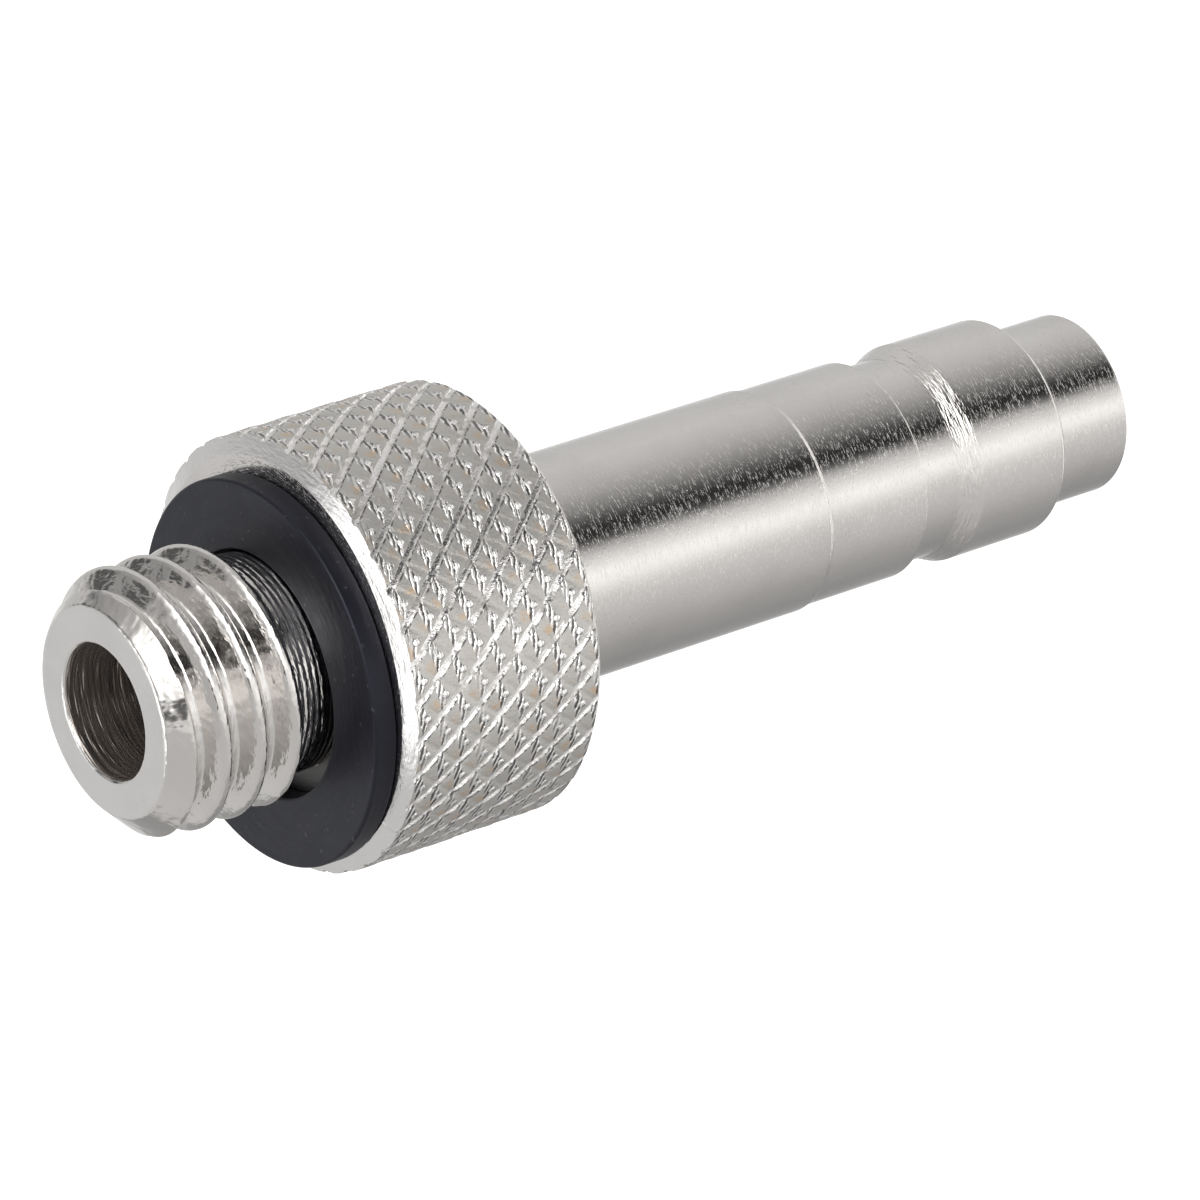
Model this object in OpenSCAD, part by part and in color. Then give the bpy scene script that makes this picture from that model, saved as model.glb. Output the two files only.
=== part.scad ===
// Fluid refill adapter: a turned and nickel-plated brass body with a threaded stub,
// a diamond-knurled finger collar and a quick-connect plug, and a flat seal washer.
// The adapter stands on its plug tip. Z runs up its axis to the threaded end.

/* [Bore] */
// Diameter of the fluid passage through the whole body
bore_d = 5; // [3:0.1:5.4]
// Chamfer at each mouth of the passage
bore_chamfer = 0.1; // [0.05:0.05:0.3]

/* [Plug end] */
// Diameter of the sealing tip
tip_d = 7; // [6.4:0.05:7.4]
// Length of the sealing tip
tip_l = 3.45; // [2:0.05:6]
// Diameter of the locking head
head_d = 8.45; // [8.3:0.05:9.4]
// Length of the locking head, with the chamfer on its shoulder
head_l = 4.3; // [2.5:0.05:7]
// Chamfer on the head's shoulder
head_chamfer = 0.35; // [0.1:0.05:0.4]
// Length of the cone that rises from the locking groove to the head
ramp_l = 0.65; // [0.3:0.05:1.2]
// Diameter at the floor of the locking groove
groove_d = 7.7; // [7.2:0.05:8.2]
// Width of the floor of the locking groove
groove_l = 2.05; // [1.2:0.05:3.5]
// Diameter of the neck above the locking groove
neck_d = 8.4; // [8.25:0.05:8.9]
// Length of the neck
neck_l = 4.4; // [2:0.1:10]
// Length of the cone between the neck and the stem
step_l = 0.45; // [0.1:0.05:1]
// Diameter of the stem
stem_d = 8.6; // [8.4:0.05:10]
// Length of the stem
stem_l = 13.3; // [6:0.1:25]

/* [Collar] */
// Diameter over the points of the knurl
collar_d = 16.3; // [15.6:0.1:20]
// Length of the collar
collar_l = 8.4; // [5:0.05:14]
// Chamfer at the collar's threaded end
front_chamfer = 0.4; // [0.3:0.05:0.7]
// Chamfer at the collar's plug end
rear_chamfer = 0.3; // [0.25:0.05:0.7]

/* [Knurl] */
// Number of grooves of one hand around the collar
knurl_count = 36; // [24:1:44]
// Angle between the grooves and the axis
knurl_angle = 40; // [30:1:50]
// Depth of the grooves
knurl_depth = 0.22; // [0.1:0.02:0.24]
// Share of the groove spacing that is left as flat-topped diamonds
knurl_land = 0.6; // [0.3:0.05:0.8]

/* [Threaded stub] */
// Diameter over the crests of the thread
thread_d = 9.9; // [9.4:0.05:10.2]
// Pitch of the right-hand thread
thread_pitch = 1.5; // [1.25:0.05:1.75]
// Length of the threaded part
thread_l = 5.25; // [3:0.05:10]
// Diameter at the roots of the thread
root_d = 8.3; // [8.25:0.05:8.6]
// Width of the flat at the roots of the thread
root_flat = 0.3; // [0.1:0.02:0.34]
// Lead-in chamfer at the open end
lead_in = 1.05; // [0.6:0.05:1.2]
// Diameter of the relief between the thread and the collar
relief_d = 8.25; // [7.6:0.05:8.25]
// Width of the relief, where the washer sits
relief_l = 2.3; // [2:0.05:5]

/* [Seal washer] */
// Outer diameter of the washer
seal_d = 14.5; // [13:0.1:15.2]
// Thickness of the washer
seal_t = 0.95; // [0.8:0.05:1.8]
// Play between the washer's hole and the relief, all round
seal_play = 0.48; // [0.46:0.02:0.8]
// Distance by which the loose washer lies to one side
seal_shift = 0.44; // [0:0.02:0.44]
// Direction in which it lies off centre, counted from +X
seal_side = 157; // [0:1:359]
// Rounding of the outer edge on the washer's free side
seal_round = 0.1; // [0.05:0.05:0.35]

/* [Hidden] */
$fn = 96;

// Overrun of cutting shapes past the faces that they cut
over = 0.4;

// Heights of the shoulders, counted from the plug tip
head_z = tip_l;
ramp_z = head_z + head_l;
groove_z = ramp_z + ramp_l;
neck_z = groove_z + groove_l;
step_z = neck_z + neck_l;
stem_z = step_z + step_l;
collar_z = stem_z + stem_l;
relief_z = collar_z + collar_l;
thread_z = relief_z + relief_l;
total_l = thread_z + thread_l;

// Knurled band: a ring round the turned core, with its inner wall hidden in the core
rim_inset = 0.02;
rim_wall = 1;
core_r = collar_d / 2 - max(front_chamfer, rear_chamfer) - rim_wall / 2;

// Whole number of half diamonds along the collar, nearest to the wanted groove angle
band_l = collar_l - 2 * rim_inset - front_chamfer - rear_chamfer;
groove_gap = PI * collar_d / knurl_count;
half_rows = max(2, round(2 * band_l * tan(knurl_angle) / groove_gap));
row_h = band_l / half_rows;
band_z = collar_z + rim_inset + rear_chamfer;

// Thread cutter: sections per turn, angle of each flank, and the radius of its open side
turn_steps = 36;
flank_angle = 30;
cutter_over = 0.15;
cutter_r = thread_d / 2 + cutter_over;
cutter_turns = ceil(thread_l / thread_pitch) + 2;

function polar(r, a, z) = [r * cos(a), r * sin(a), z];

// Points of one half row of the knurl. Each diamond has a pit on either side, and a flat
// with a left, a right, an upper and a lower corner.
row_size = 5 * knurl_count;
function pit_angle(j, k) = (j + (k % 2) / 2) * 360 / knurl_count;
function land_angle(j, k) = pit_angle(j, k) + 180 / knurl_count;
function row_z(k) = band_z + k * row_h;

// A groove's end lies further down the chamfer than a diamond's, on the same cone
function pit_z(k) = row_z(k) + (k == 0 ? -knurl_depth : k == half_rows ? knurl_depth : 0);
function row_points(k) = [
    for (j = [0 : knurl_count - 1])
        let (c = land_angle(j, k), half = knurl_land * 180 / knurl_count, rise = knurl_land * row_h)
        each [
            polar(collar_d / 2 - knurl_depth, pit_angle(j, k), pit_z(k)),
            polar(collar_d / 2, c - half, row_z(k)),
            polar(collar_d / 2, c + half, row_z(k)),
            polar(collar_d / 2, c, row_z(k) + rise),
            polar(collar_d / 2, c, row_z(k) - rise)
        ]
];

// Index of a point of diamond j in half row k: 0 pit, 1 left, 2 right, 3 upper, 4 lower
function at(j, k, part) = k * row_size + (j % knurl_count) * 5 + part;

// The pit straight above or below the middle of diamond j lies in the next half row
function next_pit(j, k, k_next) = at(j + k % 2, k_next, 0);
function diamond_faces(j, k) =
    let (
        left = at(j, k, 0),
        right = at(j + 1, k, 0),
        up = next_pit(j, k, k + 1),
        down = next_pit(j, k, k - 1),
        l = at(j, k, 1),
        r = at(j, k, 2),
        u = at(j, k, 3),
        d = at(j, k, 4)
    )
    concat(
        k < half_rows ? [[l, u, r], [right, r, u], [right, u, up], [up, u, l], [up, l, left]] : [],
        k > 0 ? [[l, r, d], [left, l, d], [left, d, down], [down, d, r], [down, r, right]] : []
    );

// Rings of three points per groove that close the band at each end: the chamfer's edge and
// the inner wall, first at the plug end and then at the threaded end
ring_size = 3 * knurl_count;
ring_start = row_size * (half_rows + 1);
function ring_angle(i, k) =
    let (j = floor(i / 3), part = i % 3, half = knurl_land * 180 / knurl_count)
    part == 0 ? pit_angle(j, k) : land_angle(j, k) + (part == 1 ? -half : half);
function ring_points(r, k, z) = [for (i = [0 : ring_size - 1]) polar(r, ring_angle(i, k), z)];
function ring_at(n, i) = ring_start + n * ring_size + i % ring_size;
function edge_at(i, k) = at(floor(i / 3), k, i % 3);
function strip(a, b, c, d) = [[a, b, c], [a, c, d]];

module knurled_rim() {
    low_z = collar_z + rim_inset;
    high_z = relief_z - rim_inset;
    inner_r = core_r - rim_wall / 2;
    points = concat(
        [for (k = [0 : half_rows]) each row_points(k)],
        ring_points(collar_d / 2 - rear_chamfer, 0, low_z),
        ring_points(inner_r, 0, low_z),
        ring_points(collar_d / 2 - front_chamfer, half_rows, high_z),
        ring_points(inner_r, half_rows, high_z)
    );
    // The upper inner ring is turned by half a groove where the number of half rows is odd
    faces = concat(
        [for (k = [0 : half_rows], j = [0 : knurl_count - 1]) each diamond_faces(j, k)],
        [for (i = [0 : ring_size - 1]) each strip(
            ring_at(0, i), edge_at(i, 0), edge_at((i + 1) % ring_size, 0), ring_at(0, i + 1))],
        [for (i = [0 : ring_size - 1]) each strip(
            ring_at(1, i), ring_at(0, i), ring_at(0, i + 1), ring_at(1, i + 1))],
        [for (i = [0 : ring_size - 1]) each strip(
            ring_at(2, i), ring_at(2, i + 1), edge_at((i + 1) % ring_size, half_rows), edge_at(i, half_rows))],
        [for (i = [0 : ring_size - 1]) each strip(
            ring_at(3, i), ring_at(3, i + 1), ring_at(2, i + 1), ring_at(2, i))],
        [for (i = [0 : ring_size - 1]) each strip(
            ring_at(1, i), ring_at(1, i + 1), ring_at(3, i + 1), ring_at(3, i))]
    );
    polyhedron(points, faces, convexity = 6);
}

// Path of the threading tool: a trapezoid that climbs one pitch a turn
module thread_cutter() {
    root_r = root_d / 2;
    mouth = root_flat / 2 + (cutter_r - root_r) * tan(flank_angle);
    steps = cutter_turns * turn_steps;
    start_z = thread_z - thread_pitch;
    points = [
        for (i = [0 : steps])
            let (a = i * 360 / turn_steps, z = start_z + i * thread_pitch / turn_steps)
            each [
                polar(root_r, a, z - root_flat / 2),
                polar(root_r, a, z + root_flat / 2),
                polar(cutter_r, a, z + mouth),
                polar(cutter_r, a, z - mouth)
            ]
    ];
    faces = concat(
        [[0, 1, 2], [0, 2, 3]],
        [for (i = [0 : steps - 1], s = [0 : 3]) each strip(
            i * 4 + s, (i + 1) * 4 + s, (i + 1) * 4 + (s + 1) % 4, i * 4 + (s + 1) % 4)],
        [[steps * 4, steps * 4 + 2, steps * 4 + 1], [steps * 4, steps * 4 + 3, steps * 4 + 2]]
    );
    polyhedron(points, faces, convexity = 10);
}

// Outline of the turned blank, from the axis out, before threading and knurling
module turned_blank() {
    rotate_extrude() polygon([
        [0, 0],
        [tip_d / 2, 0],
        [tip_d / 2, head_z],
        [head_d / 2 - head_chamfer, head_z],
        [head_d / 2, head_z + head_chamfer],
        [head_d / 2, ramp_z],
        [groove_d / 2, groove_z],
        [groove_d / 2, neck_z],
        [neck_d / 2, neck_z],
        [neck_d / 2, step_z],
        [stem_d / 2, stem_z],
        [stem_d / 2, collar_z],
        [core_r, collar_z],
        [core_r, relief_z],
        [relief_d / 2, relief_z],
        [relief_d / 2, thread_z],
        [thread_d / 2, thread_z],
        [thread_d / 2, total_l - lead_in],
        [thread_d / 2 - lead_in, total_l],
        [0, total_l]
    ]);
}

module fluid_passage() {
    mouth_r = bore_d / 2 + bore_chamfer + over;
    reach = bore_chamfer + over;
    translate([0, 0, -over]) cylinder(h = total_l + 2 * over, d = bore_d);
    translate([0, 0, -over]) cylinder(h = reach, r1 = mouth_r, r2 = bore_d / 2);
    translate([0, 0, total_l - bore_chamfer]) cylinder(h = reach, r1 = bore_d / 2, r2 = mouth_r);
}

module adapter_body() {
    color("#c3beb6") difference() {
        union() {
            turned_blank();
            knurled_rim();
        }
        thread_cutter();
        fluid_passage();
    }
}

// The washer lies on the collar's face, loose round the relief
module seal_washer() {
    hole_r = relief_d / 2 + seal_play;
    color("#25262b") rotate(seal_side) translate([seal_shift, 0, relief_z]) rotate_extrude() difference() {
        translate([hole_r, 0]) square([seal_d / 2 - hole_r, seal_t]);
        translate([seal_d / 2 - seal_round, seal_t - seal_round]) difference() {
            square(seal_round + over);
            circle(r = seal_round);
        }
    }
}

adapter_body();
seal_washer();
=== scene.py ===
# %% [markdown]
# # A nickel-plated refill adapter, dressed in Blender
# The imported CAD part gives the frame: two solids, the turned body and the washer, in metres.
# The real body is turned from one brass bar, threaded, knurled and then nickel plated.
# Everything here is modelled in millimetres and scaled down once, because Blender's mesh
# tools merge and cut more safely at sizes around 1 than at sizes around 0.001.

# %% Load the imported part
import math
import bmesh
import bpy
from mathutils import Matrix, Vector, noise


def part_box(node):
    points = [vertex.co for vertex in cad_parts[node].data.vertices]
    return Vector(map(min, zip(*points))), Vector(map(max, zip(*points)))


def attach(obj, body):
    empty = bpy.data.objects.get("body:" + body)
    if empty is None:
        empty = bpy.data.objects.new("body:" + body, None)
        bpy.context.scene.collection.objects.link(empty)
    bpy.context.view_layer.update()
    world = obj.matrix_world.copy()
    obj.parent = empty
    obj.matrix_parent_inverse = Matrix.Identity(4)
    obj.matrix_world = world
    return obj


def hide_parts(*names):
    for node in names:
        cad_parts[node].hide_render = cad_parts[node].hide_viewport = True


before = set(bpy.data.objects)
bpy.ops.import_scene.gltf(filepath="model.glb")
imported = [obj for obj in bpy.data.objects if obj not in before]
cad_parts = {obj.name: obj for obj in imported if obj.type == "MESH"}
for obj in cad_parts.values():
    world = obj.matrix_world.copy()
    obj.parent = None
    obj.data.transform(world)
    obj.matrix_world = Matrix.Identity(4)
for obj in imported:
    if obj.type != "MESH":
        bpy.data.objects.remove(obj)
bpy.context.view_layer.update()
scene = bpy.context.scene
MM = 0.001

# %% [markdown]
# ## Sizes
# The CAD source can't be read from here, so its main sizes are repeated, in millimetres.
# Heights count from the plug tip, which stands on the floor. The radii belong to the part
# between two heights: a groove_r, for instance, reaches from groove_low to groove_high.

# %% Sizes of the turned body
bore_r, bore_chamfer = 2.5, 0.1
tip_r, tip_z = 3.5, 3.45
head_r, head_z, head_chamfer = 4.23, 7.75, 0.35
groove_r, groove_low, groove_high = 3.85, 8.6, 10.45
neck_r, stem_r, stem_high = 4.2, 4.3, 28.6
step_z, step_half = 15.07, 0.045
collar_r, collar_low, collar_high = 8.15, 28.6, 37.0
relief_r, thread_low = 4.12, 39.3
crest_r, root_r, pitch = 4.945, 4.15, 1.5
face_r, lead_in, total_z = 3.9, 1.05, 44.55
body_low, body_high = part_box("adapter_body")
print("heights here:", 0, total_z, "in CAD:", [round(v.z / MM, 3) for v in (body_low, body_high)])

# %% [markdown]
# ## From mesh to piece
# A bmesh in millimetres becomes a piece whose object sits at the origin, with its place in
# its mesh. Points that lie together are merged and the faces are turned outwards. Smooth
# shading would smear light over a turned corner, so edges past a limit are marked sharp, and
# so are edges that were marked with a seam on the way.

# %% Turn a bmesh into a piece of the object
same_spot = 1e-4

def finish_piece(bm, name, materials, node, sharp=35):
    bmesh.ops.remove_doubles(bm, verts=bm.verts, dist=same_spot)
    bmesh.ops.dissolve_degenerate(bm, dist=same_spot, edges=bm.edges)
    bmesh.ops.recalc_face_normals(bm, faces=bm.faces)
    for face in bm.faces:
        face.smooth = True
    for edge in bm.edges:
        if len(edge.link_faces) == 2:
            edge.smooth = not edge.seam and math.degrees(edge.calc_face_angle()) < sharp
            edge.seam = False
    open_edges = sum(len(edge.link_faces) != 2 for edge in bm.edges)
    bmesh.ops.scale(bm, vec=(MM, MM, MM), verts=bm.verts)
    mesh = bpy.data.meshes.new(name)
    bm.to_mesh(mesh)
    print(name, "has", len(bm.faces), "faces and", open_edges, "open edges")
    bm.free()
    for material in materials:
        mesh.materials.append(material)
    piece = bpy.data.objects.new(name, mesh)
    scene.collection.objects.link(piece)
    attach(piece, "root")
    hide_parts(node)
    return piece

# %% [markdown]
# ## Turning
# A lathe moves a tool along an outline while the bar turns, and spin does the same with an
# outline of points. A long straight stretch gets one more point near each of its ends. The
# loops that these make hold the shading of the wall straight, right up to the corner.

# %% Spin an outline round the axis, with holding loops near the corners
TURN_STEPS = 144
hold = 0.15

def with_holding_loops(outline):
    points = [outline[0]]
    for start, end in zip(outline, outline[1:]):
        start, end = Vector(start), Vector(end)
        length = (end - start).length
        if length > 3 * hold:
            points += [start.lerp(end, hold / length), end.lerp(start, hold / length)]
        points.append(end)
    return points

def spin_outline(bm, outline, closed=False):
    verts = [bm.verts.new((r, 0, z)) for r, z in with_holding_loops(outline)]
    pairs = list(zip(verts, verts[1:])) + ([(verts[-1], verts[0])] if closed else [])
    edges = [bm.edges.new(pair) for pair in pairs]
    bmesh.ops.spin(bm, geom=verts + edges, cent=(0, 0, 0), axis=(0, 0, 1),
                   angle=math.tau, steps=TURN_STEPS, use_merge=True)

# %% [markdown]
# ## The plug end and the bore
# On the real part the plug end is one run of cylinders and short cones: stem, neck, locking
# groove, head and tip. One outline goes down them from the collar, round the tip and up
# through the bore to the face of the threaded end. Separate cylinders would need booleans;
# one outline gives a single clean skin. The corners get a small bevel, because a real edge
# is never quite sharp and always catches light.

# %% Turn the plug end, the bore and the threaded end's face
flat_face_r = face_r - 0.05
corner_angle, corner_bevel = 0.12, 0.05

def turned_shell():
    bm = bmesh.new()
    spin_outline(bm, [
        (stem_r, stem_high), (stem_r, step_z + step_half),
        (neck_r, step_z - step_half), (neck_r, groove_high),
        (groove_r, groove_high), (groove_r, groove_low),
        (head_r, head_z), (head_r, tip_z + head_chamfer),
        (head_r - head_chamfer, tip_z), (tip_r, tip_z), (tip_r, 0),
        (bore_r + bore_chamfer, 0), (bore_r, bore_chamfer),
        (bore_r, total_z - bore_chamfer), (bore_r + bore_chamfer, total_z),
        (flat_face_r, total_z),
    ])
    bmesh.ops.recalc_face_normals(bm, faces=bm.faces)
    corners = [edge for edge in bm.edges
               if len(edge.link_faces) == 2 and edge.calc_face_angle() > corner_angle]
    bmesh.ops.bevel(bm, geom=corners, offset=corner_bevel, offset_type="OFFSET", segments=2,
                    profile=0.5, affect="EDGES", material=-1, clamp_overlap=True)
    return bm

body = turned_shell()
print("turned shell:", len(body.faces), "faces")

# %% [markdown]
# ## The thread and its relief
# A thread is a groove that climbs one pitch a turn. A boolean with a swept profile would
# leave slivers where the thread runs out. Here a flat grid is sheared by the climb and rolled
# round the axis, so its rows follow the crests and stay crisp. Each point then gets its
# radius from the thread's section, the lead-in cone or the run-out, whichever is lowest.
# The relief behind the thread keeps the fine rings that the cutting tool leaves.

# %% Radius of the threaded end at any place
flank_run = (crest_r - root_r) * math.tan(math.radians(30))
root_half = 0.15
crest_round, root_round, joint_round = 0.22, 0.1, 0.06
ripple_pitch, ripple_height = 0.24, 0.018
run_out_ahead, run_out_slope = 0.2, 2.2
thread_start = thread_low - pitch

def soft_min(a, b, width):
    blend = max(width - abs(a - b), 0) / width
    return min(a, b) - blend * blend * width / 4

def thread_radius(turn, z):
    across = abs((z - thread_start - turn * pitch + pitch / 2) % pitch - pitch / 2)
    flank = root_r + (across - root_half) / flank_run * (crest_r - root_r)
    section = -soft_min(-soft_min(flank, crest_r, crest_round), -root_r, root_round)
    cone = face_r + (total_z - z) / lead_in * (crest_r - face_r)
    ripple = math.sin(z / ripple_pitch * math.tau) * ripple_height
    run_out = relief_r + ripple + max(0, z - thread_low + run_out_ahead) * run_out_slope
    return soft_min(soft_min(section, cone, joint_round), run_out, joint_round)

one_pitch = [thread_radius(0, thread_low + pitch * (1 + i / 48)) for i in range(48)]
print("root and crest of the thread:", round(min(one_pitch), 3), round(max(one_pitch), 3))

# %% Roll a sheared grid into the threaded end
rows_per_pitch = 24
edge_break = 0.037
end_low, end_high = collar_high + 0.1, total_z - edge_break

def threaded_shell(bm):
    row_step = pitch / rows_per_pitch
    rows = math.ceil((total_z - end_low + pitch) / row_step)
    made = bmesh.ops.create_grid(bm, x_segments=TURN_STEPS, y_segments=rows, size=0.5)
    for vert in made["verts"]:
        turn = vert.co.x + 0.5
        z = end_low - pitch + (vert.co.y + 0.5) * rows * row_step + turn * pitch
        radius = thread_radius(turn, z)
        if z >= end_high:
            z, radius = end_high, face_r + edge_break
        elif z <= end_low:
            z, radius = end_low, relief_r
        angle = turn * math.tau
        vert.co = (radius * math.cos(angle), radius * math.sin(angle), z)

threaded_shell(body)
spin_outline(body, [(face_r + edge_break, end_high), (flat_face_r, total_z)])
print("with the thread:", len(body.faces), "faces")

# %% [markdown]
# ## The knurled collar
# A knurling wheel presses two families of slanting grooves into the rim and leaves diamonds.
# On the real collar the families differ: one groove is wide with a flat floor, the other is
# shallow, and each pad between them rises towards one corner. Bump alone would leave the
# outline smooth, so the diamonds are mesh: one small grid with a table of heights, copied
# over a flat sheet. The sheet is shifted by a phase, which lines the grooves up with those of
# the real collar.

# %% Sizes of the knurl
knurl_count = 36
knurl_depth, groove_floor, pad_depth = 0.22, 0.03, 0.165
cell_w, cell_h = math.tau * collar_r / knurl_count, 0.85
phase = 0.25
print("a diamond is", round(cell_w, 3), "mm wide and", 2 * cell_h, "mm high")

# %% Heights over one diamond, a row for each step along, as shares of the pad's depth
across_steps = [0, 0.065, 0.11, 0.3, 0.6, 0.86, 0.935, 1]
along_steps = [0, 0.07, 0.14, 0.45, 0.7, 0.84, 0.94, 1]
flat_groove = [0.42, 0.42]
shallow_groove = [0.74, 0.8, 0.8, 0.72]
pad_heights = [
    shallow_groove,
    [0.86, 0.94, 0.94, 0.84],
    [0.94, 1.02, 1.0, 0.9],
    [0.94, 1.02, 1.02, 0.94],
    [0.96, 1.08, 0.98, 0.9],
    [0.96, 1.06, 0.92, 0.82],
    [0.84, 0.94, 0.84, 0.74],
    shallow_groove,
]
diamond_heights = [flat_groove + heights + flat_groove for heights in pad_heights]
print("height table:", len(diamond_heights), "by", len(diamond_heights[0]))

# %% Make one diamond on the flat sheet
def flat_diamond(bm):
    count = len(across_steps) - 1
    made = bmesh.ops.create_grid(bm, x_segments=count, y_segments=count, size=0.5)
    left_corner = Vector((-cell_w / 2, 0, 0))
    across, along = Vector((cell_w / 2, cell_h, 0)), Vector((cell_w / 2, -cell_h, 0))
    for vert in made["verts"]:
        i, j = round((vert.co.x + 0.5) * count), round((vert.co.y + 0.5) * count)
        vert.co = left_corner + across * across_steps[i] + along * along_steps[j]
        vert.co.z = groove_floor + pad_depth * diamond_heights[j][i]

sample = bmesh.new()
flat_diamond(sample)
print("one diamond:", len(sample.faces), "faces")
sample.free()

# %% Cover a flat sheet with diamonds, row by row
first_row, last_row = -6, 6

def everything(bm):
    return bm.verts[:] + bm.edges[:] + bm.faces[:]

def verts_in(geometry):
    return [item for item in geometry if isinstance(item, bmesh.types.BMVert)]

def copy_of(bm, geometry, shift):
    made = bmesh.ops.duplicate(bm, geom=geometry)["geom"]
    bmesh.ops.translate(bm, vec=shift, verts=verts_in(made))

def sheet_of_diamonds():
    bm = bmesh.new()
    flat_diamond(bm)
    tile = everything(bm)
    for column in range(1, knurl_count):
        copy_of(bm, tile, (column * cell_w, 0, 0))
    row_of_tiles = everything(bm)
    middle = (collar_low + collar_high) / 2
    for row in range(first_row, last_row + 1):
        shift = ((row % 2 / 2 + phase) * cell_w, middle + (row + 2 * phase) * cell_h, 0)
        copy_of(bm, row_of_tiles, shift)
    bmesh.ops.delete(bm, geom=verts_in(row_of_tiles), context="VERTS")
    bmesh.ops.remove_doubles(bm, verts=bm.verts, dist=same_spot)
    return bm

knurl = sheet_of_diamonds()
print("sheet of diamonds:", len(knurl.faces), "faces")

# %% [markdown]
# ## Pressed metal is uneven
# No two real diamonds are alike: the wheel presses deeper here than there, and its edges
# wander. Noise moves the points a little. It is read at the place where a point will be once
# the sheet is rolled up, so the two ends of the sheet still meet.

# %% Make the diamonds uneven
depth_change, edge_wander, pad_wave = 0.15, 0.035, 0.02
broad, fine, middling = 0.9, 4, 3.5
other_noise = Vector((9, 9, 9))
highest_pad = knurl_depth - 0.005

def make_uneven(bm):
    for vert in bm.verts:
        angle = vert.co.x / collar_r
        at = Vector((math.cos(angle) * collar_r, math.sin(angle) * collar_r, vert.co.y))
        vert.co.z *= 1 + depth_change * noise.noise(at * broad)
        wander = Vector((noise.noise(at * fine), noise.noise(at * fine + other_noise), 0))
        vert.co += wander * edge_wander
        vert.co.z = min(vert.co.z + pad_wave * noise.noise(at * middling), highest_pad)

make_uneven(knurl)
print("pads reach", round(max(v.co.z for v in knurl.verts), 3), "of", knurl_depth, "mm")

# %% [markdown]
# ## The collar's chamfers
# The lathe turns a chamfer at each end of the collar. On the flat sheet a chamfer is a
# slanted plane, and bisect_plane cuts along it and drops what lies outside. Because it cuts
# through ridges and grooves alike, the knurl runs out into the chamfer in a wave, as it does
# on the real collar. The cut rim is drawn in to a plain ring, and the sheet is rolled up.

# %% Cut the chamfers and roll the sheet up
front_chamfer, front_slope = 0.7, 0.32
rear_chamfer, rear_slope = 0.3, 1.0
floor_r = collar_r - knurl_depth
shell_gap = 1e-3

def cut_chamfer(bm, end_z, side, chamfer, slope):
    foot = knurl_depth - chamfer
    cut = bmesh.ops.bisect_plane(bm, geom=everything(bm), dist=1e-5, clear_outer=True,
                                 plane_co=(0, end_z, foot), plane_no=(0, side, slope))
    rim = [item for item in cut["geom_cut"] if isinstance(item, bmesh.types.BMEdge)]
    for vert in verts_in(bmesh.ops.extrude_edge_only(bm, edges=rim)["geom"]):
        vert.co.y, vert.co.z = end_z, foot

def roll_up(bm):
    for vert in bm.verts:
        angle, radius = vert.co.x / collar_r, floor_r + vert.co.z
        vert.co = (radius * math.cos(angle), radius * math.sin(angle), vert.co.y)
    bmesh.ops.remove_doubles(bm, verts=bm.verts, dist=shell_gap)

cut_chamfer(knurl, collar_high, 1, front_chamfer, front_slope)
cut_chamfer(knurl, collar_low, -1, rear_chamfer, rear_slope)
roll_up(knurl)
print("knurled shell:", len(knurl.faces), "faces, from z",
      round(min(v.co.z for v in knurl.verts), 2), "to", round(max(v.co.z for v in knurl.verts), 2))

# %% [markdown]
# ## Joining the shells
# The shells meet in flat rings: the two faces of the collar. The open loops at one height
# bound such a ring, so a triangle fill closes it, and the body is one closed skin. The loops
# are marked with a seam, which finish_piece turns into a sharp edge.

# %% Join the shells and close the collar's faces
foot_r = 5.3
joined = bpy.data.meshes.new("knurled_shell")
knurl.to_mesh(joined)
knurl.free()
body.from_mesh(joined)
bpy.data.meshes.remove(joined)
spin_outline(body, [(relief_r, end_low), (relief_r, collar_high), (foot_r, collar_high)])
bmesh.ops.remove_doubles(body, verts=body.verts, dist=shell_gap)
for height in (collar_low, collar_high):
    loops = [edge for edge in body.edges if len(edge.link_faces) == 1
             and all(abs(vert.co.z - height) < 0.01 for vert in edge.verts)]
    for edge in loops:
        edge.seam = True
    made = bmesh.ops.triangle_fill(body, edges=loops, use_beauty=True, normal=(0, 0, 1))
    ring = [item for item in made["geom"] if isinstance(item, bmesh.types.BMFace)]
    print("collar face at", height, "closed with", len(ring), "triangles")

# %% [markdown]
# ## Tools for finishes
# Every finish is a small network of nodes. These helpers make one node each and link what
# they are given, whether that is a number or the output of another node, so that a finish
# reads like a formula.

# %% Helpers for node trees
def feed(tree, socket, value):
    if hasattr(value, "links"):
        tree.links.new(value, socket)
    elif value is not None:
        socket.default_value = value

def math_node(tree, operation, first, second=None):
    node = tree.nodes.new("ShaderNodeMath")
    node.operation = operation
    for socket, value in zip(node.inputs, (first, second)):
        feed(tree, socket, value)
    return node.outputs[0]

def product(tree, *factors):
    result = factors[0]
    for factor in factors[1:]:
        result = math_node(tree, "MULTIPLY", result, factor)
    return result

def noise_node(tree, vector, scale, detail=2.0, rough=0.5):
    node = tree.nodes.new("ShaderNodeTexNoise")
    for label, value in (("Vector", vector), ("Scale", scale), ("Detail", detail),
                         ("Roughness", rough)):
        feed(tree, node.inputs[label], value)
    return node.outputs["Fac"]

def range_node(tree, value, low, high, new_low=0.0, new_high=1.0):
    node = tree.nodes.new("ShaderNodeMapRange")
    for label, number in (("Value", value), ("From Min", low), ("From Max", high),
                          ("To Min", new_low), ("To Max", new_high)):
        feed(tree, node.inputs[label], number)
    return node.outputs["Result"]

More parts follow.
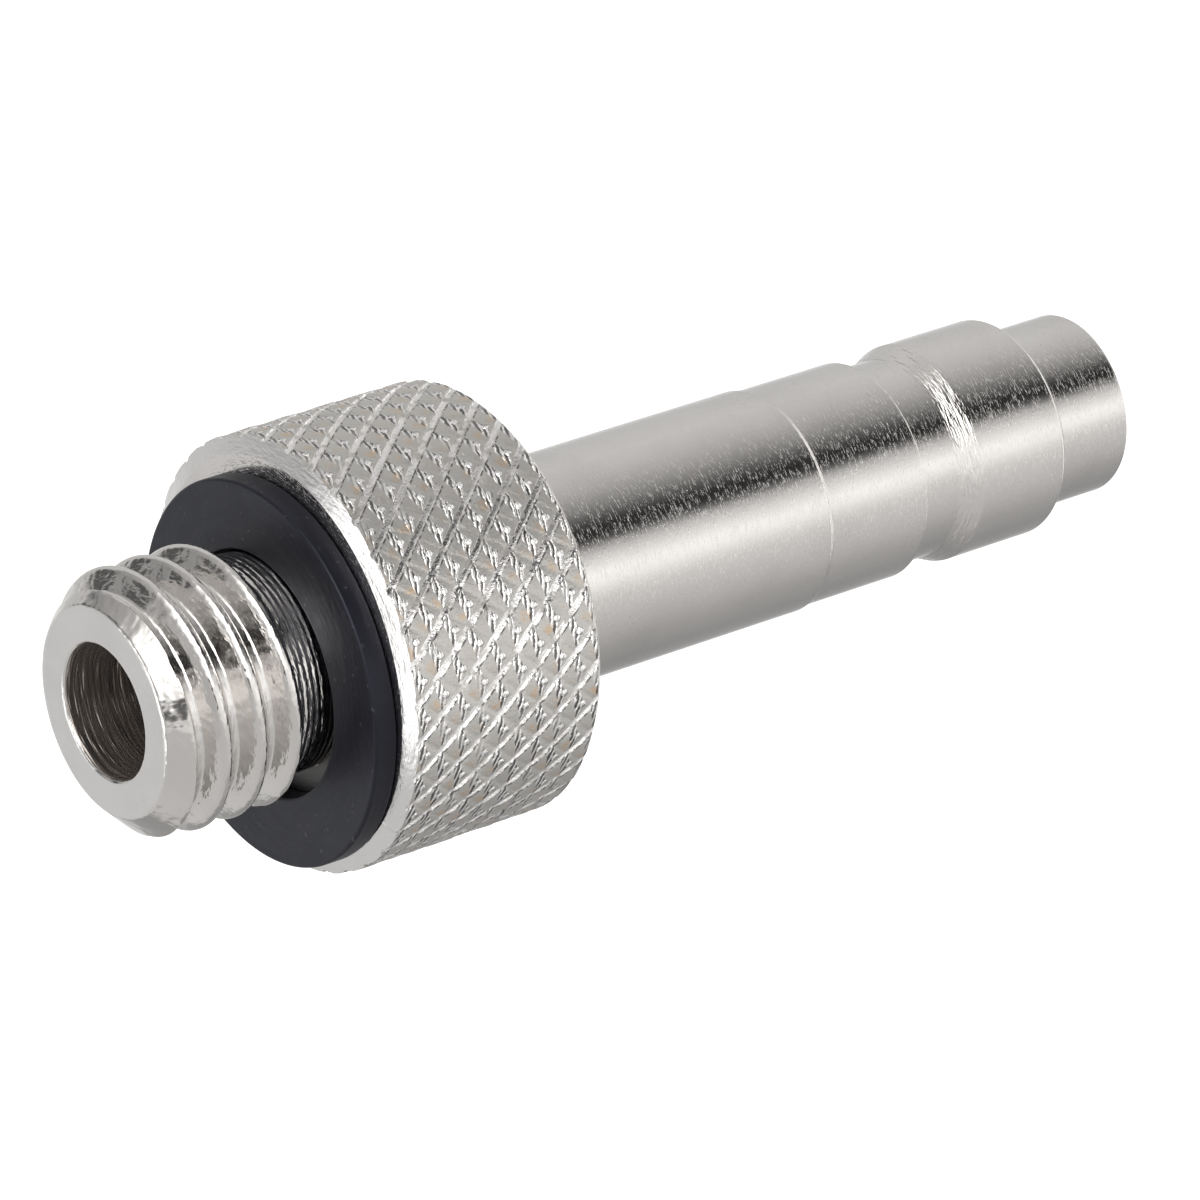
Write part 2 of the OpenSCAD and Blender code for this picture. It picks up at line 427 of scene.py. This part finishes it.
# %% Helpers that mix, bump and read places
def mix_node(tree, factor, first, second, kind="FLOAT"):
    node = tree.nodes.new("ShaderNodeMix")
    node.data_type = kind
    for label, value in (("Factor", factor), ("A", first), ("B", second)):
        feed(tree, node.inputs[label], value)
    return node.outputs["Result"]

def mix_colour(tree, factor, first, second):
    return mix_node(tree, factor, first, second, "RGBA")

def bump_node(tree, height, depth, normal=None):
    node = tree.nodes.new("ShaderNodeBump")
    for label, value in (("Distance", depth * MM), ("Height", height), ("Normal", normal)):
        feed(tree, node.inputs[label], value)
    return node.outputs["Normal"]

def object_place(tree):
    return tree.nodes.new("ShaderNodeTexCoord").outputs["Object"]

def split_axes(tree, vector):
    node = tree.nodes.new("ShaderNodeSeparateXYZ")
    tree.links.new(vector, node.inputs[0])
    return node.outputs

# %% Helpers that make a group, place one in a tree, and start a material
def new_group(name, inputs, outputs):
    group = bpy.data.node_groups.new(name, "ShaderNodeTree")
    for label, default in inputs:
        socket = group.interface.new_socket(label, in_out="INPUT", socket_type="NodeSocketFloat")
        socket.default_value = default
    for label in outputs:
        group.interface.new_socket(label, in_out="OUTPUT", socket_type="NodeSocketFloat")
    given = group.nodes.new("NodeGroupInput").outputs
    return group, given, group.nodes.new("NodeGroupOutput").inputs

def use_group(tree, group, settings):
    node = tree.nodes.new("ShaderNodeGroup")
    node.node_tree = group
    for label, value in settings.items():
        node.inputs[label].default_value = value
    return node.outputs

def new_material(name):
    material = bpy.data.materials.new(name)
    material.use_nodes = True
    return material, material.node_tree, material.node_tree.nodes["Principled BSDF"]

# %% [markdown]
# ## Lathe marks
# Every turned face of the real part carries fine rings from the tool, with dull streaks along
# them and a few dents. The rings follow the height on a cylinder and the radius on a flat
# face, so the group stretches noise along height plus radius. It is a group, because every
# plated finish and the rubber use it, each with its own spacing.

# %% Group for the rings that a lathe tool leaves
streak_width = 0.35

def make_tool_marks():
    tree, given, made = new_group(
        "tool_marks",
        [("Rings per mm", 8.0), ("Streaks per mm", 0.3), ("Dents per mm", 4.0),
         ("Dent share", 0.0), ("Sparseness", 0.0)],
        ["Height", "Streak"])
    rings, streaks, dents_scale = (math_node(tree, "MULTIPLY", given[label], 1 / MM) for label in
                                   ("Rings per mm", "Streaks per mm", "Dents per mm"))
    where = object_place(tree)
    x, y, z = split_axes(tree, where)
    square = math_node(tree, "ADD", product(tree, x, x), product(tree, y, y))
    along = math_node(tree, "ADD", z, math_node(tree, "SQRT", square))
    stretched = tree.nodes.new("ShaderNodeCombineXYZ")
    for socket, axis, scale in zip(stretched.inputs, (x, y, along), (streaks, streaks, rings)):
        tree.links.new(product(tree, axis, scale), socket)
    dents = product(tree, noise_node(tree, where, dents_scale, 1.0), given["Dent share"])
    lines = noise_node(tree, stretched.outputs[0], 1.0, 2.0, 0.6)
    lines = math_node(tree, "MAXIMUM", math_node(tree, "SUBTRACT", lines, given["Sparseness"]), 0)
    tree.links.new(math_node(tree, "ADD", lines, dents), made["Height"])
    broad_place = tree.nodes.new("ShaderNodeVectorMath")
    broad_place.operation = "SCALE"
    broad_place.inputs["Scale"].default_value = streak_width
    tree.links.new(stretched.outputs[0], broad_place.inputs[0])
    tree.links.new(noise_node(tree, broad_place.outputs[0], 1.0), made["Streak"])
    return tree

tool_marks = make_tool_marks()
print("group", tool_marks.name, "has", len(tool_marks.nodes), "nodes")

# %% [markdown]
# ## Stains and specks
# Plating that has been handled has broad faint patches and tiny dark specks, and rubber has
# pale dust. Both are noise that is cut off at a level, at two scales.

# %% Group for stains and specks
def make_stains():
    tree, given, made = new_group(
        "stains", [("Patches per mm", 0.4), ("Specks per mm", 3.0)], ["Patch", "Speck"])
    where = object_place(tree)
    patches = math_node(tree, "MULTIPLY", given["Patches per mm"], 1 / MM)
    specks = math_node(tree, "MULTIPLY", given["Specks per mm"], 1 / MM)
    patch = range_node(tree, noise_node(tree, where, patches, 3.0), 0.45, 0.75)
    speck = range_node(tree, noise_node(tree, where, specks, 1.0), 0.7, 0.8)
    tree.links.new(patch, made["Patch"])
    tree.links.new(speck, made["Speck"])
    return tree

stains = make_stains()
print("group", stains.name, "has", len(stains.nodes), "nodes")

# %% [markdown]
# ## Marks inside every diamond
# In each real diamond the wheel leaves two or three short ridges and a bulge, the flat floor
# of a groove is pressed smooth, and a tan stain shows here and there. Colour also paints
# light and shade: a lighter painted highlight on the smooth floor, the ridges and the bulge,
# and painted shade in the troughs between the ridges and along one edge of the flat-floored
# groove. They are finer than a mesh of some 350 diamonds should carry, so they are bump and
# colour. First comes the place inside a diamond: u runs from one flat-floored groove to the
# next and v from one shallow groove to the next, both from 0 to 1.

# %% The place inside a diamond, and a round spot in it
def diamond_place(tree, where):
    x, y, z = split_axes(tree, where)
    turn = math_node(tree, "DIVIDE", math_node(tree, "ARCTAN2", y, x), math.tau)
    columns = math_node(tree, "SUBTRACT", product(tree, turn, knurl_count), phase)
    over_middle = math_node(tree, "SUBTRACT", z, (collar_low + collar_high) / 2 * MM)
    rows = math_node(tree, "DIVIDE", over_middle, 2 * cell_h * MM)
    rows = math_node(tree, "SUBTRACT", rows, phase)
    both = (math_node(tree, operation, columns, rows) for operation in ("ADD", "SUBTRACT"))
    return [math_node(tree, "FRACT", math_node(tree, "ADD", way, 0.5)) for way in both]

def round_spot(tree, place, centre, reach):
    away = [math_node(tree, "POWER", math_node(tree, "SUBTRACT", axis, middle), 2)
            for axis, middle in zip(place, centre)]
    return range_node(tree, math_node(tree, "ADD", *away), reach, 0.0)

def window(tree, value, opens, closes):
    return range_node(tree, value, *opens), range_node(tree, value, *closes)

# %% The ridges and the field that they fill
ridge_lean = 1.7
start_lean, end_lean = 0.7, 0.5
wander_per_mm, wander_reach, ridge_shift = 2.2, 7.0, 0.5

def ridge_field(tree, u, v):
    climb = math_node(tree, "SUBTRACT", product(tree, u, ridge_lean), v)
    start = math_node(tree, "SUBTRACT", v, product(tree, climb, start_lean))
    end = math_node(tree, "SUBTRACT", v, product(tree, climb, end_lean))
    field = product(tree, range_node(tree, start, 0.05, 0.15), range_node(tree, end, 0.8, 0.7),
                    *window(tree, climb, (-0.18, -0.12), (0.78, 0.7)),
                    *window(tree, u, (0.04, 0.08), (0.92, 0.86)))
    return climb, field

def ridge_waves(tree, where, climb, step):
    wander = product(tree, noise_node(tree, where, wander_per_mm / MM), wander_reach)
    steps = product(tree, math_node(tree, "DIVIDE", climb, step), math.tau)
    shifted = math_node(tree, "ADD", steps, math_node(tree, "SUBTRACT", wander, ridge_shift))
    return math_node(tree, "SINE", shifted)

# %% Group for the marks that the knurling wheel leaves, with painted highlight and painted shade
bulge_at, bulge_reach, bulge_height = (0.36, 0.66), 0.022, 1.4
tan_at, tan_reach, tan_strength = (0.37, 0.2), 0.085, 1.1
cells_per_mm, breaks_per_mm, ragged_per_mm = 1.1, 2.2, 5
stained_per_mm, uneven_per_mm = 0.9, 4

def make_knurl_marks():
    tree, given, made = new_group(
        "knurl_marks", [("Ridge step", 0.34)], ["Height", "Polish and painted highlight", "Painted shade", "Tan"])
    where = object_place(tree)
    u, v = diamond_place(tree, where)
    some_cells = noise_node(tree, where, cells_per_mm / MM, 1.0)
    some_cells = range_node(tree, some_cells, 0.3, 0.5, 0.35, 1.0)
    climb, field = ridge_field(tree, u, v)
    field = product(tree, field, some_cells)
    ridges = ridge_waves(tree, where, climb, given["Ridge step"])
    bulge = round_spot(tree, (u, v), bulge_at, bulge_reach)
    height = math_node(tree, "ADD", product(tree, ridges, field),
                       product(tree, bulge, some_cells, bulge_height))
    tree.links.new(height, made["Height"])

    # Where the metal is pressed smooth: lower roughness, and a lighter colour that is a painted
    # highlight.
    field = math_node(tree, "MAXIMUM", field, range_node(tree, bulge, 0.0, 0.2))
    breaks = range_node(tree, noise_node(tree, where, breaks_per_mm / MM), 0.36, 0.5)
    stripe = math_node(tree, "MAXIMUM", *window(tree, u, (0.1, 0.08), (0.84, 0.87)))
    polish_and_highlight = math_node(tree, "MAXIMUM", product(tree, stripe, breaks), field)
    tree.links.new(polish_and_highlight, made["Polish and painted highlight"])

    # Painted shade: a darker colour along one edge of the flat-floored groove and in the troughs
    # between the ridges.
    ragged = range_node(tree, noise_node(tree, where, ragged_per_mm / MM), 0.44, 0.56)
    line = product(tree, *window(tree, u, (0.8, 0.84), (0.88, 0.865)), ragged)
    furrows = product(tree, field, range_node(tree, ridges, 0.35, -0.35),
                      range_node(tree, bulge, 0.5, 0.2))
    tree.links.new(math_node(tree, "MAXIMUM", line, furrows), made["Painted shade"])

    stain = round_spot(tree, (u, v), tan_at, tan_reach)
    stained = range_node(tree, noise_node(tree, where, stained_per_mm / MM, 1.0), 0.42, 0.6)
    uneven = range_node(tree, noise_node(tree, where, uneven_per_mm / MM), 0.35, 0.65)
    tree.links.new(product(tree, stain, stained, uneven, tan_strength), made["Tan"])
    return tree

knurl_marks = make_knurl_marks()
print("group", knurl_marks.name, "has", len(knurl_marks.nodes), "nodes")

# %% [markdown]
# ## The plated finishes
# Nickel on brass is a slightly warm grey mirror that the marks below it dull. One function
# makes every plated finish: the same nodes with another tint, roughness, spacing and depth of
# marks. The bore and the gap behind the washer get darker colours. This is partly for their
# thin plating and partly painted shade for the little light that gets in there. The gap's
# near black is mostly painted shade.

# %% A plated finish with its own marks, tint and roughness
NICKEL = (0.735, 0.71, 0.684, 1)
NEUTRAL_NICKEL = (0.735, 0.722, 0.712, 1)
SPECK_BROWN = (0.12, 0.1, 0.08, 1)
speck_share, specks_per_mm, patch_shade = 0.15, 7.0, 0.94
streak_range, smoother, rougher = (0.3, 0.7), 0.8, 1.25

def plated(name, tint, rough, rings, streaks, bump, dents=(4.0, 0.0), sparse=0.0, metallic=1.0):
    material, tree, shader = new_material(name)
    shader.inputs["Metallic"].default_value = metallic
    marks = use_group(tree, tool_marks, {
        "Rings per mm": rings, "Streaks per mm": streaks, "Dents per mm": dents[0],
        "Dent share": dents[1], "Sparseness": sparse})
    spots = use_group(tree, stains, {"Specks per mm": specks_per_mm})
    shaded = [channel * patch_shade for channel in tint[:3]] + [1]
    colour = mix_colour(tree, spots["Patch"], tint, shaded)
    dark = product(tree, spots["Speck"], speck_share)
    tree.links.new(mix_colour(tree, dark, colour, SPECK_BROWN), shader.inputs["Base Color"])
    gloss = range_node(tree, marks["Streak"], *streak_range, rough * smoother, rough * rougher)
    tree.links.new(gloss, shader.inputs["Roughness"])
    tree.links.new(bump_node(tree, marks["Height"], bump), shader.inputs["Normal"])
    return material

satin = plated("satin_nickel", NICKEL, 0.13, 20.0, 3.6, 0.03, sparse=0.55)
faced = plated("faced_nickel", NEUTRAL_NICKEL, 0.16, 9.0, 2.0, 0.015)
bright = plated("bright_nickel", NICKEL, 0.12, 9.0, 1.5, 0.03, dents=(1.8, 1.2))
torn = plated("torn_nickel", NICKEL, 0.14, 12.0, 1.2, 0.07)
# The darker colours of the bore and the gap are partly thin plating and partly painted shade.
bore_finish = plated("bored_brass", (0.4, 0.36, 0.33, 1), 0.2, 3.5, 0.3, 0.16, metallic=0.75)
painted_gap_shade = plated("painted_shade_gap", (0.1, 0.097, 0.095, 1), 0.35, 4.0, 0.5, 0.02)
print("plated:", [m.name for m in (satin, faced, bright, torn, bore_finish, painted_gap_shade)])

# %% [markdown]
# ## The finish of the knurl
# The pads are matt, because the wheel crushes their surface, and what it presses smooth
# shines. So the knurl starts as a plated finish, and the marks inside every diamond then
# choose between a dull and a shiny roughness and between the plain colour and a lighter
# painted highlight, and add painted shade, stains and ridges.

# %% The knurl, dull on its pads and shiny where it is pressed, with painted highlight and shade
# The first colour is a lighter painted highlight for the smooth places, the last is painted shade,
# and TAN is a real stain.
PAINTED_HIGHLIGHT, TAN, PAINTED_SHADE = (0.9, 0.88, 0.86, 1), (0.7, 0.55, 0.4, 1), (0.09, 0.085, 0.08, 1)
pad_rough, pressed_rough = 0.52, 0.15
ridge_height, painted_shade_strength = 0.03, 0.92

def knurled(name):
    material = plated(name, (0.65, 0.63, 0.598, 1), 0.14, 9.0, 9.0, 0.028)
    tree = material.node_tree
    shader = tree.nodes["Principled BSDF"].inputs
    plain_colour, plain_normal = (shader[label].links[0].from_socket
                                  for label in ("Base Color", "Normal"))
    pressed = use_group(tree, knurl_marks, {})
    # The lighter colour on smooth places is a painted highlight, and the darker one is painted
    # shade.
    colour = mix_colour(tree, pressed["Polish and painted highlight"], plain_colour, PAINTED_HIGHLIGHT)
    colour = mix_colour(tree, pressed["Tan"], colour, TAN)
    painted_shade = product(tree, pressed["Painted shade"], painted_shade_strength)
    tree.links.new(mix_colour(tree, painted_shade, colour, PAINTED_SHADE), shader["Base Color"])
    tree.links.new(mix_node(tree, pressed["Polish and painted highlight"], pad_rough, pressed_rough), shader["Roughness"])
    ridges = bump_node(tree, pressed["Height"], ridge_height, plain_normal)
    tree.links.new(ridges, shader["Normal"])
    return material

rim_finish = knurled("knurled_nickel")
print(rim_finish.name, "has", len(rim_finish.node_tree.nodes), "nodes")

# %% [markdown]
# ## Where each finish goes
# The body is one skin, so its finishes are material slots, chosen for each face by its
# place. The cone behind the locking head is torn by the tool, and the thread is bright. The
# collar's front chamfer and the face of the threaded end are faced smooth, and what is left
# is satin.

# %% Give each zone of the body its finish
body_finishes = [satin, bright, rim_finish, bore_finish, painted_gap_shade, torn, faced]
thread_zone_r, knurl_zone_depth, chamfer_zone_r = 5.2, 0.45, 7
near, on_ring, on_face = 0.03, 0.02, 0.01
torn_high = groove_low + 0.1

def finish_at(centre):
    radius = math.hypot(centre.x, centre.y)
    off_chamfer = centre.z - collar_high + front_slope * (radius - collar_r + front_chamfer)
    if radius < bore_r + near:
        return bore_finish
    # The ring under the washer gets the gap's painted shade.
    if abs(centre.z - collar_high) < on_ring and radius < thread_zone_r:
        return painted_gap_shade
    if abs(off_chamfer) < near and radius > chamfer_zone_r:
        return faced
    if radius > collar_r - knurl_zone_depth and collar_low < centre.z < collar_high:
        return rim_finish
    if radius < thread_zone_r and centre.z > collar_high:
        return bright if centre.z < total_z - on_face else faced
    if head_z < centre.z < torn_high:
        return torn
    return satin

body.normal_update()
for face in body.faces:
    face.material_index = body_finishes.index(finish_at(face.calc_center_median()))
finish_piece(body, "turned_body", body_finishes, "adapter_body", sharp=38)

# %% [markdown]
# ## The seal washer
# A flat ring punched from black rubber sheet. It is loose round the relief and hangs to one
# side. A closed outline, spun like the rest, gives its square section, and a bevel of a
# tenth of a millimetre rounds the edges as far as a punch leaves them round.

# %% Make the washer
seal_r, seal_hole, seal_low, seal_high = 7.21, 4.6, 37.01, 37.95
seal_centre = Vector((-0.41, 0.18, 0))
seal_round, square_corner = 0.12, 1

def washer_shell():
    bm = bmesh.new()
    spin_outline(bm, [(seal_hole, seal_low), (seal_r, seal_low),
                      (seal_r, seal_high), (seal_hole, seal_high)], closed=True)
    bmesh.ops.recalc_face_normals(bm, faces=bm.faces)
    corners = [edge for edge in bm.edges if edge.calc_face_angle() > square_corner]
    bmesh.ops.bevel(bm, geom=corners, offset=seal_round, offset_type="OFFSET", segments=4,
                    profile=0.5, affect="EDGES", material=-1)
    bmesh.ops.translate(bm, vec=seal_centre, verts=bm.verts)
    return bm

washer = washer_shell()
print("washer:", len(washer.faces), "faces")

# %% [markdown]
# ## Rubber
# Black rubber is never quite black. It has a faint bluish sheen, a fine round grain from the
# sheet it was cut from, and pale dust. The groups for lathe marks and stains give grain and
# dust, and the sheen is a tinted, weaker highlight on the shader itself.

# %% A bluish black rubber with faint grain and dust
RUBBER, WORN_RUBBER = (0.006, 0.0063, 0.011, 1), (0.011, 0.0115, 0.018, 1)
DUST, dust_share = (0.12, 0.12, 0.13, 1), 0.5
rubber_rough, grain_depth = (0.36, 0.46), 0.014

def rubber(name):
    material, tree, shader = new_material(name)
    shader.inputs["Specular IOR Level"].default_value = 0.34
    shader.inputs["Specular Tint"].default_value = (0.86, 0.88, 1, 1)
    marks = use_group(tree, tool_marks, {"Rings per mm": 5.0, "Streaks per mm": 1.2})
    spots = use_group(tree, stains, {"Specks per mm": 4.0})
    colour = mix_colour(tree, spots["Patch"], RUBBER, WORN_RUBBER)
    dust = product(tree, spots["Speck"], dust_share)
    tree.links.new(mix_colour(tree, dust, colour, DUST), shader.inputs["Base Color"])
    gloss = range_node(tree, marks["Streak"], *streak_range, *rubber_rough)
    tree.links.new(gloss, shader.inputs["Roughness"])
    tree.links.new(bump_node(tree, marks["Height"], grain_depth), shader.inputs["Normal"])
    return material

finish_piece(washer, "rubber_washer", [rubber("black_rubber")], "seal_washer")

# %% [markdown]
# ## Camera
# The camera looks down on the standing part and is rolled, so that the part lies across the
# picture. A long lens keeps the two ends nearly the same size. The place and the roll are
# given as angles round the part, and the matrix is built from three directions: right, up
# and back.

# %% Place the camera
camera_azimuth, camera_elevation, camera_roll = 10.146, 33.337, 108.03
camera_distance = 270.25 * MM
camera_aim = Vector((-1.66, 0, 23.05)) * MM
a, e, roll = (math.radians(v) for v in (camera_azimuth, camera_elevation, camera_roll))
back = Vector((math.sin(a) * math.cos(e), -math.cos(a) * math.cos(e), math.sin(e)))
level = Vector((math.cos(a), math.sin(a), 0))
up = back.cross(level) * math.cos(roll) + level * math.sin(roll)
right = up.cross(back)
facing = Matrix((right, up, back)).transposed().to_4x4()
camera = bpy.data.objects.new("camera", bpy.data.cameras.new("camera"))
camera.data.lens = 220.66
camera.data.sensor_width = 36
camera.data.clip_start = 0.01
camera.matrix_world = Matrix.Translation(camera_aim + back * camera_distance) @ facing
scene.collection.objects.link(camera)
scene.camera = camera
print("camera at", [round(v / MM, 1) for v in camera.matrix_world.translation])

# %% [markdown]
# ## Studio
# Polished metal shows what stands round it. The camera sees a white world and a white floor.
# A reflection sees a softly lit room instead. Its levels go round the part in two tiers, one
# from the floor to just over the horizon and one above, and a ceiling and a floor close it.
# Cards, small round patches as in a photo studio, darken or lighten one direction, and a
# bright strip stands for a lamp tube.

# %% Levels of the room round the part, by direction in degrees
lower_tier = [
    (-180, 0.45), (-160, 0.58), (-140, 0.69), (-124, 0.8), (-116, 0.97), (-108, 1.22),
    (-99, 1.32), (-91, 1.08), (-80, 0.76), (-75, 0.56), (-69, 0.16), (-63, 0.03),
    (-54, 0.035), (-44, 0.14), (-36, 0.27), (-24, 0.42), (-12, 0.55), (4, 0.66), (24, 0.73),
    (50, 0.67), (72, 0.61), (86, 0.86), (102, 0.88), (124, 0.38), (150, 0.345), (180, 0.45)]
upper_tier = [
    (-180, 0.62), (-135, 0.64), (-120, 0.95), (-98, 1.1), (-84, 1.6), (-70, 2.0), (-20, 2.0),
    (-6, 1.1), (6, 0.56), (22, 0.46), (45, 0.36), (62, 0.38), (80, 0.7), (110, 0.72),
    (150, 0.66), (180, 0.62)]
ceiling_level, floor_level, fill_light = 0.55, 1.3, 0.5
brightest = 2.0

def tier_ramp(tree, around, levels):
    ramp = tree.nodes.new("ShaderNodeValToRGB")
    stops = ramp.color_ramp.elements
    while len(stops) < len(levels):
        stops.new(0.5)
    for stop, (degrees, level) in zip(stops, levels):
        stop.position = degrees / 360 + 0.5
        stop.color = [level / brightest] * 3 + [1]
    tree.links.new(around, ramp.inputs["Fac"])
    return math_node(tree, "MULTIPLY", ramp.outputs["Color"], brightest)

print("tiers of", len(lower_tier), "and", len(upper_tier), "levels")

# %% Cards, each with its azimuth, elevation, half width and level, and the strip
cards = [(60, 21, 9, 0.1), (38, 46, 8, 0.1), (-107, 60, 6, 0.12), (100, 64, 16, 1.9)]
card_blur = 3
strip_level = 5.0

def card_mask(tree, direction, azimuth, elevation, spread):
    a, e = math.radians(azimuth), math.radians(elevation)
    towards = tree.nodes.new("ShaderNodeVectorMath")
    towards.operation = "DOT_PRODUCT"
    tree.links.new(direction, towards.inputs[0])
    towards.inputs[1].default_value = (
        math.cos(a) * math.cos(e), math.sin(a) * math.cos(e), math.sin(e))
    outer, inner = (math.cos(math.radians(spread + blur)) for blur in (card_blur, -card_blur))
    return range_node(tree, towards.outputs["Value"], outer, inner)

def strip_mask(tree, height, around):
    return product(tree, product(tree, *window(tree, height, (0.6, 0.68), (0.84, 0.78))),
                   product(tree, *window(tree, around, (0.24, 0.265), (0.42, 0.395))))

print("cards:", len(cards))

# %% World, white for the camera and a lit room for reflections
world = bpy.data.worlds.new("studio")
world.use_nodes = True
scene.world = world
tree = world.node_tree
direction = tree.nodes.new("ShaderNodeTexCoord").outputs["Generated"]
x, y, height = split_axes(tree, direction)
angle = math_node(tree, "ARCTAN2", y, x)
around = math_node(tree, "ADD", math_node(tree, "DIVIDE", angle, math.tau), 0.5)
room = mix_node(tree, range_node(tree, height, 0.13, 0.27),
                tier_ramp(tree, around, lower_tier), tier_ramp(tree, around, upper_tier))
room = mix_node(tree, range_node(tree, height, 0.84, 0.96), room, ceiling_level)
room = mix_node(tree, range_node(tree, height, -0.78, -0.92), room, floor_level)
for azimuth, elevation, spread, card_level in cards:
    room = mix_node(tree, card_mask(tree, direction, azimuth, elevation, spread), room, card_level)
room = math_node(tree, "ADD", room, product(tree, strip_mask(tree, height, around), strip_level))
sight = tree.nodes.new("ShaderNodeLightPath").outputs
seen = math_node(tree, "MAXIMUM", sight["Is Camera Ray"], sight["Is Transmission Ray"])
strength = mix_node(tree, sight["Is Glossy Ray"], mix_node(tree, seen, fill_light, 1.0), room)
backdrop = tree.nodes["Background"].inputs
backdrop["Color"].default_value = (1, 1, 1, 1)
tree.links.new(strength, backdrop["Strength"])
print("world", world.name, "has", len(tree.nodes), "nodes")

# %% [markdown]
# ## Floor and lamps
# The part stands on a white floor. Light alone would leave it a little grey, so it glows
# towards the camera only, and it keeps the part's soft shadow. Two soft boxes give the matt
# surfaces their shape. Reflections don't see them, because the room already has its levels.

# %% Floor, white with a soft shadow
floor_glow = 0.75

def floor_finish():
    material, tree, shader = new_material("floor_white")
    shader.inputs["Base Color"].default_value = (0.85, 0.85, 0.85, 1)
    shader.inputs["Roughness"].default_value = 0.9
    shader.inputs["Emission Color"].default_value = (1, 1, 1, 1)
    path = tree.nodes.new("ShaderNodeLightPath").outputs
    glow = product(tree, path["Is Camera Ray"], floor_glow)
    tree.links.new(glow, shader.inputs["Emission Strength"])
    return material

floor_bm = bmesh.new()
bmesh.ops.create_grid(floor_bm, x_segments=4, y_segments=4, size=3)
floor_mesh = bpy.data.meshes.new("floor")
floor_bm.to_mesh(floor_mesh)
floor_bm.free()
floor_mesh.materials.append(floor_finish())
floor = bpy.data.objects.new("floor", floor_mesh)
scene.collection.objects.link(floor)
floor.visible_glossy = False
print("floor:", len(floor_mesh.polygons), "faces")

# %% Soft boxes
part_middle = Vector((0, 0, 0.025))

def soft_box(name, place, size, level):
    lamp = bpy.data.lights.new(name, "AREA")
    lamp.shape = "SQUARE"
    lamp.size = size
    lamp.energy = level * math.pi * size * size
    box = bpy.data.objects.new(name, lamp)
    box.location = place
    box.rotation_euler = (part_middle - Vector(place)).to_track_quat("-Z", "Y").to_euler()
    scene.collection.objects.link(box)
    box.visible_glossy = False

soft_box("key_light", (0.25, -0.2, 0.5), 0.3, 2.0)
soft_box("side_light", (-0.45, -0.1, 0.35), 0.3, 1.2)
scene.view_settings.view_transform = "Standard"
